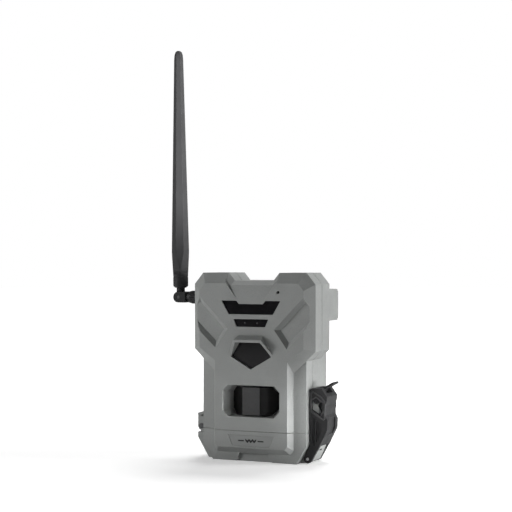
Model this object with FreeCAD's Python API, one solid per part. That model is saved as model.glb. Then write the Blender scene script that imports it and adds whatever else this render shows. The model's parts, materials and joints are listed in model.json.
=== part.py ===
"""Cellular trail camera: a two-shell housing, a battery door that drops on a side hinge,
a side latch, a folding whip antenna, and the optics, boards and cells that it holds.

Millimetres.  +Z is up, the camera looks along -Y, +X is its left hand as it looks out.
The origin is the centre of the bottom face, and Y = 0 is the joint plane of the two shells.
"""
import FreeCAD, Part
import os
import math

V = FreeCAD.Vector

# ---- overall sizes -------------------------------------------------------------------------
HEIGHT = 132.0              # bottom face to top face
UPPER_HALF = 46.2           # half the width above the waist
WAIST_STEP = 6.8            # how far the sides step in below the waist, each side
FRONT = -18.0               # front plane
RIM = -12.0                 # where the front bevels meet the side walls
LEDGE = -13.0               # front of the ledge beside the lower panel
SHOULDER = 14.5             # rear face of the wide upper part
SIDE_BACK = 26.0            # rear face of the side walls
HUMP_BACK = 42.0            # rear face of the battery hump
WALL = 2.4                  # shell wall
SEAM = 22.0                 # height of the joint between housing and door
DOOR_GAP = 0.3              # gap at that joint

# ---- outline of the case -------------------------------------------------------------------
TOP_CHAMFER_X, TOP_CHAMFER_Z = 6.6, 8.0
BOTTOM_CHAMFER_X, BOTTOM_CHAMFER_Z = 7.3, 13.3
WAIST_DROP = 53.9           # top face down to the waist
NOTCH_TOP_HALF, NOTCH_FLOOR_HALF, NOTCH_DEPTH = 19.3, 14.6, 5.6
BEVEL_X, BEVEL_Z = 6.6, 7.4     # run of the upper bevels across the front
LEDGE_WIDTH, STEP_WIDTH = 9.2, 2.6
PANEL_BOTTOM, LEDGE_BOTTOM = 10.2, 6.2

# ---- clearances ----------------------------------------------------------------------------
RUN = 0.05                  # radial clearance of a running fit
SEAT = 0.15                 # gap round a piece that drops into a recess
MOVE = 0.4                  # gap beside a piece that moves

# ---- windows in the front ------------------------------------------------------------------
LED_TOP, LED_BOTTOM = 19.4, 29.0            # down from the top face
LED_TOP_HALF, LED_BOTTOM_HALF = 22.5, 16.8
STATUS_TOP, STATUS_BOTTOM = 32.2, 37.7
STATUS_TOP_HALF, STATUS_BOTTOM_HALF = 13.4, 10.9
STATUS_LED_X = 4.7
LENS_TOP, LENS_MID, LENS_POINT = 48.2, 58.3, 67.2
LENS_TOP_HALF, LENS_MID_HALF = 9.5, 15.5
WINDOW_THICK = 1.5
LED_RECESS, LENS_RECESS = 0.8, 2.6          # window face below the front plane
VISOR_BASE, VISOR_LIP = 43.2, 46.4          # down from the top face
VISOR_BASE_HALF, VISOR_LIP_HALF, VISOR_REACH = 9.1, 10.5, 6.0
PIR_BOTTOM, PIR_TALL, PIR_HALF, PIR_CORNER = 31.6, 22.1, 21.7, 4.0
PIR_DEEP, PIR_FLARE_X, PIR_FLARE_Z = 11.0, 3.8, 1.0
PIR_PANEL_HALF, PIR_LENS_INSET, PIR_LENS_THICK = 6.6, 0.8, 1.0
POCKET_DEEP, POCKET_WALL = 3.0, 3.0
MIC_X, MIC_DOWN, MIC_R = 20.6, 13.4, 1.15

# ---- optics --------------------------------------------------------------------------------
OPTIC_DOWN = 57.5           # lens axis below the top face
BARREL_R, BARREL_FRONT, BARREL_BACK = 6.0, -12.0, -8.4
FILTER_THICK = 0.6
HOLDER_HALF, HOLDER_BACK = 9.0, -4.2

# ---- boards --------------------------------------------------------------------------------
BOARD_FRONT, BOARD_THICK, BOARD_MARGIN = -3.0, 1.4, 3.4
LED_BOARD_FRONT, LED_BOARD_THICK = -10.6, 1.2
LAMPS, LAMP_PITCH = 6, 5.4
SCREW_R, SCREW_HEAD_R, SCREW_HEAD_TALL = 1.5, 2.6, 1.8
BOSS_R = 3.4

# ---- battery -------------------------------------------------------------------------------
CELL_R, CELL_LONG, CELL_PITCH = 7.2, 50.0, 15.2
CONTACT_GAP = 1.4           # room for a plate or a pressed spring at each column end
TRAY_WALL = 1.3
TRAY_FRONT = 3.0
TRAY_DROP = 3.8             # how far the tray hangs below the seam, into the door
TRAY_GAP = 0.4
HUMP_HALF, HUMP_BACK_HALF = 24.0, 20.5

# ---- door hinge ----------------------------------------------------------------------------
HINGE_OUT, HINGE_Z = 4.0, 22.4      # pin axis outside the lower side wall, and its height
HINGE_PIN_R, KNUCKLE_R = 1.5, 3.0
HINGE_FRONT, LUG_THICK, KNUCKLE_LONG = -6.5, 4.0, 12.0
HINGE_LUG_TOP = 34.1
WING_TOP = 18.0

# ---- side latch ----------------------------------------------------------------------------
LATCH_IN, LATCH_Z = 0.7, 3.6        # pivot inside the lower side wall, and its height
LATCH_PIN_R, LATCH_BOSS_R = 1.0, 3.0
LATCH_FRONT, LATCH_BACK, CHEEK = -8.0, 12.0, 2.6
LATCH_WEB = 2.2
CATCH_TOP, CATCH_REACH, CATCH_DROP, CATCH_TALL = 46.5, 3.8, 4.7, 13.0
CHIN_REACH, CHIN_DROP = 7.4, 10.4
TAB_WIDE, TAB_LONG, TAB_PIN_R = 10.0, 10.5, 0.7
TAB_RISE = 0.5              # radians above level

# ---- antenna -------------------------------------------------------------------------------
ANT_DOWN, ANT_Y, ANT_OUT = 17.7, -5.5, 14.6   # connector axis, and the whip outside the wall
JACK_R, NUT_R, NUT_TIP_R, NUT_FLUTES = 3.0, 4.7, 3.7, 18
ELBOW_R, ELBOW_WIDE, TONGUE = 3.9, 9.0, 4.0
LEAN = 0.6                  # degrees that the whip leans outwards, away from the case
ELBOW_PIN_R = 1.1
SLEEVE_R, SLEEVE_FOOT, SLEEVE_TOP = 5.4, 6.7, 16.7    # heights above the elbow pin
RADIATOR_R = 1.0
BLADE = (                            # height above the pin, width, depth
    (SLEEVE_TOP, 10.8, 9.6),
    (32.3, 13.0, 9.4),
    (134.0, 8.9, 6.6),
    (173.0, 6.7, 5.0),
    (177.7, 4.4, 3.2),
)

# ---- controls under the floor --------------------------------------------------------------
CONTROL_X, CONTROL_Y = 28.0, 9.5
BUTTON_R = 3.4
JACK_SOCKET_R, JACK_SOCKET_BACK = 2.3, 7.9
CARD_WIDE, CARD_LONG, CARD_THICK = 11.0, 15.0, 1.0

# ---- rear bracket --------------------------------------------------------------------------
BRACKET_PLATE, BRACKET_DEEP, BRACKET_HALF = 3.0, 13.0, 19.0
BRACKET_LOW, BRACKET_TALL = 34.0, 76.0
STRAP_WIDE, STRAP_THICK, BRIDGE = 26.0, 6.0, 3.4
BRACKET_SCREW_GRIP = 4.0
INSERT_BORE_R, INSERT_R, INSERT_LONG = 2.55, 4.2, 9.0
LUG_LOW, LUG_TALL, LUG_REACH, LUG_CORNER = 98.2, 22.2, 32.0, 2.0

# ---- derived places ------------------------------------------------------------------------
LOWER_HALF = UPPER_HALF - WAIST_STEP
WAIST = HEIGHT - WAIST_DROP
FLOOR = SEAM + WALL
PANEL_HALF = LOWER_HALF - LEDGE_WIDTH - STEP_WIDTH
LEDGE_HALF = LOWER_HALF - LEDGE_WIDTH
OPTIC_Z = HEIGHT - OPTIC_DOWN
ANT_X, ANT_Z = -(UPPER_HALF + ANT_OUT), HEIGHT - ANT_DOWN
HINGE_X = -(LOWER_HALF + HINGE_OUT)
LATCH_X = LOWER_HALF - LATCH_IN
TRAY_SIZE = 2 * CELL_PITCH + 2 * TRAY_WALL + 1.0
TRAY_TALL = 2 * CELL_LONG + 2 * CONTACT_GAP + 2 * TRAY_WALL
TRAY_LOW = SEAM - TRAY_DROP
BRACKET_BACK = HUMP_BACK + BRACKET_DEEP
BOARD_LOW, BOARD_TOP = FLOOR + 5.0, HEIGHT - 12.0
CHIPS = (                            # centre x, centre z, width, height, thickness
    (0, OPTIC_Z, 12, 12, 1.0),
    (16, OPTIC_Z + 2, 9, 6, 0.9),
    (-15, OPTIC_Z - 3, 7, 9, 0.9),
    (8, BOARD_LOW + 22, 6, 6, 0.8),
    (-9, BOARD_LOW + 18, 8, 5, 1.1),
)

os.makedirs("parts", exist_ok=True)


# ---- helpers -------------------------------------------------------------------------------
def polygon(points):
    return Part.Face(Part.makePolygon(points + points[:1]))


def prism_y(points, y0, y1):
    """Polygon given as (x, z), swept from y0 to y1."""
    return polygon([V(x, y0, z) for x, z in points]).extrude(V(0, y1 - y0, 0))


def prism_z(points, z0, z1):
    """Polygon given as (x, y), swept from z0 to z1."""
    return polygon([V(x, y, z0) for x, y in points]).extrude(V(0, 0, z1 - z0))


def prism_x(points, x0, x1):
    """Polygon given as (y, z), swept from x0 to x1."""
    return polygon([V(x0, y, z) for y, z in points]).extrude(V(x1 - x0, 0, 0))


def block(x0, x1, y0, y1, z0, z1):
    return Part.makeBox(x1 - x0, y1 - y0, z1 - z0, V(x0, y0, z0))


def rod(radius, start, axis, length):
    return Part.makeCylinder(radius, length, V(*start), V(*axis))


def loft_y(sections):
    """Ruled solid through outlines, each given as (y, [(x, z), ...])."""
    wires = []
    for y, points in sections:
        corners = [V(x, y, z) for x, z in points]
        wires.append(Part.makePolygon(corners + corners[:1]))
    return Part.makeLoft(wires, True, True)


def mirrored(half):
    """Full outline from its right half, which runs from the top down."""
    return half + [(-x, z) for x, z in reversed(half)]


def inset(points, distance):
    """Outline whose sides lie a distance inside; points run clockwise seen along +Y."""
    result = []
    count = len(points)
    for i in range(count):
        (ax, az), (bx, bz), (cx, cz) = points[i - 1], points[i], points[(i + 1) % count]
        d1 = math.hypot(bx - ax, bz - az)
        d2 = math.hypot(cx - bx, cz - bz)
        n1 = ((bz - az) / d1, -(bx - ax) / d1)
        n2 = ((cz - bz) / d2, -(cx - bx) / d2)
        scale = distance / (1 + n1[0] * n2[0] + n1[1] * n2[1])
        result.append((bx + scale * (n1[0] + n2[0]), bz + scale * (n1[1] + n2[1])))
    return result


def fused(shapes):
    first = shapes[0]
    return first.multiFuse(shapes[1:]) if len(shapes) > 1 else first


def both_sides(shape):
    return [shape, shape.mirror(V(0, 0, 0), V(1, 0, 0))]


def export(shape, node):
    shape = shape.removeSplitter() if len(shape.Solids) == 1 else shape
    shape.exportStep("parts/" + node + ".step")
    print(node, len(shape.Solids), round(shape.Volume, 1), shape.isValid())


# ---- outlines ------------------------------------------------------------------------------
def top_half(bevel):
    """Upper right outline at a share of the front bevel: 0 at the rim, 1 at the front plane."""
    side = UPPER_HALF - BEVEL_X * bevel
    top = HEIGHT - BEVEL_Z * bevel
    return [
        (NOTCH_FLOOR_HALF + 1.6 * bevel, HEIGHT - NOTCH_DEPTH - 3.9 * bevel),
        (NOTCH_TOP_HALF + 0.3 * bevel, top),
        (UPPER_HALF - TOP_CHAMFER_X - 4.0 * bevel, top),
        (side, HEIGHT - TOP_CHAMFER_Z - 4.3 * bevel),
        (side, WAIST + 1.3 * bevel),
    ]


LEDGE_SHARE = (RIM - LEDGE) / (RIM - FRONT)


def housing_outlines(low):
    """Rim, ledge and front-plane outlines of the housing, down to the height low."""
    rim = top_half(0) + [(LOWER_HALF, WAIST - WAIST_STEP), (LOWER_HALF, low)]
    ledge = top_half(LEDGE_SHARE) + [(LEDGE_HALF, WAIST - 15.4), (LEDGE_HALF, low)]
    front = top_half(1) + [(PANEL_HALF, WAIST - 7.6), (PANEL_HALF, low)]
    return mirrored(rim), mirrored(ledge), mirrored(front)


def door_outlines(high):
    """Rim, ledge and front-plane outlines of the door, up to the height high."""
    rim = [(LOWER_HALF, high), (LOWER_HALF, BOTTOM_CHAMFER_Z),
           (LOWER_HALF - BOTTOM_CHAMFER_X, 0)]
    ledge = [(LEDGE_HALF, high), (LEDGE_HALF, LEDGE_BOTTOM + 3.3), (LEDGE_HALF - 2.3, LEDGE_BOTTOM)]
    front = [(PANEL_HALF, high), (PANEL_HALF, PANEL_BOTTOM + 2.2), (PANEL_HALF - 2.2, PANEL_BOTTOM)]
    return mirrored(rim), mirrored(ledge), mirrored(front)


def back_outline(low):
    """Outline of the part behind the shoulder, down to the height low."""
    top = HEIGHT - NOTCH_DEPTH
    return mirrored([(LOWER_HALF - 5.0, top), (LOWER_HALF, top - 6.0), (LOWER_HALF, low)])


def hump_plan(grow):
    """Plan of the battery hump, grown by a distance."""
    return [(-HUMP_HALF - grow, SIDE_BACK - WALL), (HUMP_HALF + grow, SIDE_BACK - WALL),
            (HUMP_HALF + grow, SIDE_BACK), (HUMP_BACK_HALF + grow, HUMP_BACK + grow),
            (-HUMP_BACK_HALF - grow, HUMP_BACK + grow), (-HUMP_HALF - grow, SIDE_BACK)]


def led_outline():
    top, low = HEIGHT - LED_TOP, HEIGHT - LED_BOTTOM
    return mirrored([(9.1, top - 2.3), (10.9, top), (LED_TOP_HALF, top), (LED_BOTTOM_HALF, low)])


def status_outline():
    return mirrored([(STATUS_TOP_HALF, HEIGHT - STATUS_TOP),
                     (STATUS_BOTTOM_HALF, HEIGHT - STATUS_BOTTOM)])


def lens_outline():
    right = [(LENS_TOP_HALF, HEIGHT - LENS_TOP), (LENS_MID_HALF, HEIGHT - LENS_MID)]
    return right + [(0, HEIGHT - LENS_POINT)] + [(-x, z) for x, z in reversed(right)]


def pir_outline(flare_x, flare_z):
    half, c = PIR_HALF - flare_x, PIR_CORNER
    low, top = PIR_BOTTOM + flare_z, PIR_BOTTOM + PIR_TALL - flare_z
    return mirrored([(half - c, top), (half, top - c), (half, low + c), (half - c, low)])


def case_screw_places():
    """(x, z, rear face that the head sits in) for the right-hand screws."""
    return [(UPPER_HALF - 4.1, WAIST + 16.7, SHOULDER),
            (LOWER_HALF - 6.5, HEIGHT - 11.0, SIDE_BACK),
            (LOWER_HALF - 6.5, FLOOR + 20.0, SIDE_BACK)]


def board_screw_places():
    return [(x, z) for x in (-26.0, 26.0) for z in (BOARD_LOW + 30.0, BOARD_TOP - 28.0)]


# ---- front housing -------------------------------------------------------------------------
def pocket_cutter():
    """Sunken panel on the right of the front, with sloping walls, open at the side."""
    top = HEIGHT - 17.0
    far = UPPER_HALF + 8.0
    corners = [(UPPER_HALF - 7.0, top), (far, top - 9.5), (far, WAIST + 27.0),
               (PANEL_HALF - 0.4, WAIST + 1.1), (UPPER_HALF - 28.6, WAIST + 14.7)]
    floor = inset(corners, POCKET_WALL)
    return loft_y([(FRONT - 0.02, corners), (FRONT + POCKET_DEEP, floor)])


def visor():
    """Rain hood over the lens window: a wedge whose inside follows the window."""
    base = HEIGHT - VISOR_BASE
    lip = HEIGHT - VISOR_LIP
    foot = HEIGHT - LENS_MID + 0.4
    wedge = loft_y([
        (FRONT + 0.5, mirrored([(VISOR_BASE_HALF, base), (LENS_MID_HALF + 1.6, foot)])),
        (FRONT - VISOR_REACH, mirrored([(VISOR_LIP_HALF, lip), (VISOR_LIP_HALF + 0.5, lip - 1.0)])),
    ])
    opening = loft_y([(FRONT + 0.6, lens_outline()), (FRONT - VISOR_REACH - 1, lens_outline())])
    return wedge.cut(opening)


def housing_shell_front():
    rim, ledge, front = housing_outlines(SEAM)
    solid = prism_y(rim, RIM, 0).fuse(loft_y([(RIM, rim), (LEDGE, ledge), (FRONT, front)]))
    hollow = prism_y(inset(rim, WALL), RIM + 2.0, 0.01)
    deep = mirrored([(UPPER_HALF - 12.0, HEIGHT - 10.5), (UPPER_HALF - 12.0, WAIST + 2.0),
                     (PANEL_HALF - 2.0, WAIST - 12.0), (PANEL_HALF - 2.0, FLOOR)])
    hollow = hollow.fuse(prism_y(deep, RIM - 0.5, RIM + 2.1))
    return solid.cut(hollow)


def front_housing():
    shell = housing_shell_front()
    bosses = []
    for x, z, _ in case_screw_places():
        bosses += both_sides(rod(BOSS_R, (x, RIM + 1.6, z), (0, 1, 0), -RIM - 1.6))
    for x, z in board_screw_places():
        bosses.append(rod(BOSS_R, (x, RIM - 0.8, z), (0, 1, 0), BOARD_FRONT - RIM + 0.8))
    tub = loft_y([(FRONT + 2.0, pir_outline(-0.4, -1.4)),
                  (FRONT + PIR_DEEP + 1.6, pir_outline(PIR_FLARE_X - 1.8, PIR_FLARE_Z - 1.8))])
    shell = shell.multiFuse(bosses + [tub, visor()])

    cutters = []
    for x, z, _ in case_screw_places():
        cutters += both_sides(rod(SCREW_R + RUN, (x, RIM + 3.4, z), (0, 1, 0), -RIM))
    for x, z in board_screw_places():
        cutters.append(rod(SCREW_R + RUN, (x, BOARD_FRONT - 6.2, z), (0, 1, 0), 7.0))
    cutters += both_sides(pocket_cutter())
    cutters.append(loft_y([(FRONT - 0.02, pir_outline(0, 0)),
                           (FRONT + PIR_DEEP, pir_outline(PIR_FLARE_X, PIR_FLARE_Z))]))
    hole = PIR_FLARE_X + 2.0
    cutters.append(prism_y(pir_outline(hole, PIR_FLARE_Z + 1.5), FRONT, FRONT + PIR_DEEP + 3))
    back = LED_RECESS + WINDOW_THICK
    cutters.append(prism_y(led_outline(), FRONT - 1, FRONT + back))
    cutters.append(prism_y(inset(led_outline(), 1.4), FRONT, RIM + 1))
    cutters.append(prism_y(status_outline(), FRONT - 1, FRONT + back))
    for x in (-STATUS_LED_X, STATUS_LED_X):
        z = HEIGHT - (STATUS_TOP + STATUS_BOTTOM) / 2
        cutters.append(rod(1.7, (x, FRONT, z), (0, 1, 0), 8))
    cutters.append(prism_y(lens_outline(), FRONT - 1, FRONT + LENS_RECESS + WINDOW_THICK))
    cutters.append(rod(BARREL_R + MOVE, (0, FRONT, OPTIC_Z), (0, 1, 0), 8))
    cutters.append(rod(MIC_R, (MIC_X, FRONT - 1, HEIGHT - MIC_DOWN), (0, 1, 0), 7.5))
    cutters.append(brow_cutter())
    cutters.append(rod(JACK_R + RUN, (-UPPER_HALF - 1, ANT_Y, ANT_Z), (1, 0, 0), 6))
    cutters.append(gasket(0.05))
    cutters.append(seam_groove())
    return shell.cut(fused(cutters))


def brow_cutter():
    """Shallow sloping field under the notch, bounded by two diagonals."""
    low, high = HEIGHT - 19.0, HEIGHT + 2.0
    slope = prism_x([(FRONT - 1, low), (FRONT, low), (FRONT + 3.2, high), (FRONT - 1, high)], -26, 26)
    field = mirrored([(26.0, high), (10.2, low)])
    return slope.common(prism_y(field, FRONT - 1, RIM))


def gasket(grow):
    """Seal between the two shells, half in each; grow gives the groove that it lies in."""
    rim, _, _ = housing_outlines(SEAM)
    outer = prism_y(inset(rim, 0.75 - grow), -0.7 - grow, 0.7 + grow)
    return outer.cut(prism_y(inset(rim, 1.75 + grow), -0.8 - grow, 0.8 + grow))


def seam_groove():
    """Fine shadow line round the joint of the two shells."""
    rim, _, _ = housing_outlines(SEAM)
    outer = prism_y(inset(rim, -1.0), -0.3, 0.3)
    return outer.cut(prism_y(inset(rim, 0.35), -0.4, 0.4))


# ---- rear housing --------------------------------------------------------------------------
def lug():
    """Solid ear behind the right shoulder that bears on the tree bracket's strap."""
    x0, x1 = LOWER_HALF - 2.0, UPPER_HALF
    low, top, c = LUG_LOW, LUG_LOW + LUG_TALL, LUG_CORNER
    side = [(SHOULDER - 1, low), (LUG_REACH - c, low), (LUG_REACH, low + c),
            (LUG_REACH, top - c), (LUG_REACH - c, top), (SHOULDER - 1, top)]
    ear = prism_x(side, x0, x1)
    core = block(x0 + WALL + 2, x1 - WALL, SHOULDER + 4, LUG_REACH + 1, low + WALL, top - WALL)
    return ear.cut(core)


def hinge_lugs():
    """Two ears on the left wall that carry the ends of the door's hinge pin."""
    ears = []
    rear = HINGE_FRONT + LUG_THICK + KNUCKLE_LONG + 2 * MOVE
    outer = HINGE_X - KNUCKLE_R
    for y in (HINGE_FRONT, rear):
        web = prism_y([(outer, HINGE_Z), (outer, HINGE_LUG_TOP - 2.5), (-LOWER_HALF + 1, HINGE_LUG_TOP),
                       (-LOWER_HALF + 1, SEAM + 1.0), (-LOWER_HALF, SEAM),
                       (HINGE_X + KNUCKLE_R, HINGE_Z)], y, y + LUG_THICK)
        eye = rod(KNUCKLE_R, (HINGE_X, y, HINGE_Z), (0, 1, 0), LUG_THICK)
        relief = prism_y([(outer + 1.6, HINGE_Z + 7.0), (-LOWER_HALF - 1.2, HINGE_Z + 7.0),
                          (-LOWER_HALF - 1.2, HINGE_Z + 9.6)], y - 1, y + 1.2)
        bore = rod(HINGE_PIN_R + RUN, (HINGE_X, y - 1, HINGE_Z), (0, 1, 0), LUG_THICK + 2)
        ears.append(web.fuse(eye).cut(bore.fuse(relief)))
    return ears


def catch(y0, y1):
    """Share of the wedge on the right wall that the latch hooks over."""
    wall, z = LOWER_HALF, CATCH_TOP
    return prism_y([(wall - 0.4, z + 0.4), (wall, z), (wall + CATCH_REACH, z - CATCH_DROP),
                    (wall + CHIN_REACH, z - CHIN_DROP), (wall + CHIN_REACH, z - CATCH_TALL),
                    (wall - 0.4, z - CATCH_TALL - 0.4)], y0, y1)


def rear_housing():
    rim, _, _ = housing_outlines(SEAM)
    hump_top = HEIGHT - NOTCH_DEPTH
    solid = prism_y(rim, 0, SHOULDER).fuse(prism_y(back_outline(SEAM), SHOULDER - 1, SIDE_BACK))
    hump = prism_z(hump_plan(0), SEAM, hump_top)
    slope = prism_x([(SIDE_BACK, hump_top + 1), (HUMP_BACK + 1, hump_top + 1),
                     (HUMP_BACK + 1, hump_top - 5)], -HUMP_HALF - 1, HUMP_HALF + 1)
    solid = solid.multiFuse([hump.cut(slope)] + both_sides(lug()))
    hollow = [prism_y(inset(rim, WALL), -0.01, SHOULDER - WALL),
              prism_y(inset(back_outline(SEAM), WALL), SHOULDER - WALL - 1, SIDE_BACK - WALL)]
    half = TRAY_SIZE / 2 + TRAY_GAP
    bay = block(-half, half, TRAY_FRONT - TRAY_GAP, TRAY_FRONT + TRAY_SIZE + TRAY_GAP,
                SEAM - 1, TRAY_LOW + TRAY_TALL + TRAY_GAP)
    solid = solid.cut(fused(hollow + [bay]))

    bosses, cutters = [], [gasket(0.05), seam_groove()]
    for x, z, back in case_screw_places():
        head = back - SCREW_HEAD_TALL - 1.2
        bosses += both_sides(rod(BOSS_R, (x, 0, z), (0, 1, 0), back - 0.5))
        cutters += both_sides(rod(SCREW_R + RUN, (x, -1, z), (0, 1, 0), back))
        cutters += both_sides(rod(SCREW_HEAD_R + SEAT, (x, head, z), (0, 1, 0), back))
    for x, z in bracket_screw_places():
        cutters.append(rod(SCREW_R + RUN, (x, HUMP_BACK - BRACKET_SCREW_GRIP, z), (0, 1, 0), 10))
    pocket = TRAY_FRONT + TRAY_SIZE + TRAY_GAP
    bosses = [b.cut(block(-half, half, -1, pocket, SEAM, HEIGHT)) for b in bosses]
    for ear in hinge_lugs():
        if ear.BoundBox.YMax > 0:
            bosses.append(ear)
    bosses.append(catch(0.3, LATCH_BACK - CHEEK - 2.4))
    x, y = CONTROL_X, CONTROL_Y
    cutters.append(rod(BUTTON_R + MOVE / 2, (x, y, SEAM - 1), (0, 0, 1), WALL + 3))
    slot = CARD_THICK / 2 + MOVE
    cutters.append(block(-x - CARD_WIDE / 2 - MOVE, -x + CARD_WIDE / 2 + MOVE, y - slot, y + slot,
                         SEAM - 1, FLOOR + 1))
    cutters.append(rod(JACK_SOCKET_R + SEAT, (x, y + JACK_SOCKET_BACK, SEAM - 1), (0, 0, 1), WALL + 3))
    return solid.multiFuse(bosses).cut(fused(cutters))


def bracket_screw_places():
    return [(x, z) for x in (-13.5, 13.5)
            for z in (BRACKET_LOW + 27.0, BRACKET_LOW + BRACKET_TALL - 27.0)]


# ---- windows and optics --------------------------------------------------------------------
def windows():
    y = FRONT + LED_RECESS
    export(prism_y(inset(led_outline(), SEAT), y, y + WINDOW_THICK), "led_window")
    plate = prism_y(inset(status_outline(), SEAT), y, y + WINDOW_THICK)
    export(plate, "status_window")
    y = FRONT + LENS_RECESS
    export(prism_y(inset(lens_outline(), SEAT), y, y + WINDOW_THICK), "lens_window")


def optics():
    z = OPTIC_Z
    length = BARREL_BACK - BARREL_FRONT
    barrel = rod(BARREL_R, (0, BARREL_FRONT - 1.2, z), (0, 1, 0), length + 1.2)
    barrel = barrel.cut(rod(4.0, (0, BARREL_FRONT - 2, z), (0, 1, 0), length + 3))
    export(barrel, "lens_barrel")
    glasses = []
    for y, r in ((BARREL_FRONT - 1.0, 12.0), (BARREL_FRONT + 1.6, 18.0)):
        ball = Part.makeSphere(r, V(0, y + r, z))
        disc = rod(4.0 - RUN, (0, y, z), (0, 1, 0), 1.4)
        glasses.append(ball.common(disc))
    export(Part.makeCompound(glasses), "lens_glass")

    h = HOLDER_HALF
    front = BARREL_BACK + 0.1
    holder = block(-h, h, front, HOLDER_BACK, z - h, z + h)
    slot = FILTER_THICK + 2 * MOVE
    room = block(-h + 1.2, h - 1.2, front + 1.0, front + 1.0 + slot, z - 5.4, z + 5.4)
    light = rod(3.4, (0, front - 1, z), (0, 1, 0), HOLDER_BACK - front + 2)
    export(holder.cut(room.fuse(light)), "lens_holder")

    y = front + 1.0 + MOVE
    frame = block(-7.4, 0.6, y, y + FILTER_THICK, z - 5.0, z + 5.0)
    export(frame, "ir_cut_filter")
    coil = rod(2.2, (h + 0.3, front + 2.4, z - 4), (0, 0, 1), 8)
    export(coil.cut(block(h - 3, h + 0.1, front, front + 6, z - 9, z + 9)), "filter_solenoid")
    sensor = block(-5, 5, HOLDER_BACK + 0.05, BOARD_FRONT - 0.05, z - 5, z + 5)
    export(sensor, "image_sensor")


def pir():
    """Smoky lens of three flat panels that bow towards the lower window, and its sensor can."""
    half = PIR_HALF - PIR_FLARE_X - 0.4
    low, top = PIR_BOTTOM + PIR_FLARE_Z + 0.4, PIR_BOTTOM + PIR_TALL - PIR_FLARE_Z - 0.4
    back = FRONT + PIR_DEEP - PIR_LENS_THICK - 0.1
    front = FRONT + PIR_LENS_INSET
    face = [(-half, back), (-PIR_PANEL_HALF, front), (PIR_PANEL_HALF, front), (half, back)]
    inside = [(x, y + PIR_LENS_THICK) for x, y in reversed(face)]
    outline = pir_outline(PIR_FLARE_X + 0.4, PIR_FLARE_Z + 0.4)
    export(prism_z(face + inside, low, top).common(prism_y(outline, FRONT, 0)), "pir_lens")
    z = (low + top) / 2
    can = rod(4.6, (0, BOARD_FRONT - 4.3, z), (0, 1, 0), 4.2)
    can = can.cut(block(-2, 2, BOARD_FRONT - 5, BOARD_FRONT - 4.0, z - 1.5, z + 1.5))
    export(can, "pir_sensor")


# ---- boards --------------------------------------------------------------------------------
def boards():
    half = LOWER_HALF - WALL - BOARD_MARGIN
    plate = block(-half, half, BOARD_FRONT, BOARD_FRONT + BOARD_THICK, BOARD_LOW, BOARD_TOP)
    holes = []
    for x, z in board_screw_places():
        holes.append(rod(SCREW_R + RUN, (x, BOARD_FRONT - 1, z), (0, 1, 0), 4))
    for x, z, _ in case_screw_places():
        holes += both_sides(rod(BOSS_R + MOVE, (x, BOARD_FRONT - 1, z), (0, 1, 0), 4))
    export(plate.cut(fused(holes)), "main_board")

    y = BOARD_FRONT + BOARD_THICK + 0.05
    chips = []
    for x, z, wide, tall, thick in CHIPS:
        chips.append(block(x - wide / 2, x + wide / 2, y, y + thick, z - tall / 2, z + tall / 2))
    export(Part.makeCompound(chips), "board_chips")
    x, z = -14.0, BOARD_TOP - 14.0
    export(block(x - 11, x + 11, y, y + 2.2, z - 9, z + 9), "modem_module")
    screws = []
    for x, z in board_screw_places():
        head = BOARD_FRONT + BOARD_THICK + 0.02
        shank = rod(SCREW_R, (x, head - 6.5, z), (0, 1, 0), 6.5)
        screws.append(shank.fuse(rod(SCREW_HEAD_R, (x, head, z), (0, 1, 0), 1.2)))
    export(Part.makeCompound(screws), "board_screws")

    top, low = HEIGHT - LED_TOP - 0.6, HEIGHT - STATUS_BOTTOM - 0.5
    y = LED_BOARD_FRONT
    export(block(-20.5, 20.5, y, y + LED_BOARD_THICK, low, top), "led_board")
    lamps = []
    z = HEIGHT - (LED_TOP + LED_BOTTOM) / 2 - 1.1
    for i in range(LAMPS):
        x = (i - (LAMPS - 1) / 2) * LAMP_PITCH
        dome = Part.makeSphere(1.88, V(x, y - 2.6, z))
        lamps.append(rod(1.9, (x, y - 2.6, z), (0, 1, 0), 2.55).fuse(dome))
    export(Part.makeCompound(lamps), "ir_leds")
    pips = []
    for x in (-STATUS_LED_X, STATUS_LED_X):
        z = HEIGHT - (STATUS_TOP + STATUS_BOTTOM) / 2
        pips.append(rod(1.3, (x, FRONT + 2.6, z), (0, 1, 0), y - FRONT - 2.65))
    export(Part.makeCompound(pips), "status_light_pipes")
    x, z = MIC_X, HEIGHT - MIC_DOWN
    export(rod(2.0, (x, RIM - 0.2, z), (0, 1, 0), 1.6), "microphone")


# ---- battery -------------------------------------------------------------------------------
def columns():
    mid = TRAY_FRONT + TRAY_SIZE / 2
    return [(x, mid + y) for x in (-CELL_PITCH / 2, CELL_PITCH / 2)
            for y in (-CELL_PITCH / 2, CELL_PITCH / 2)]


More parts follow.
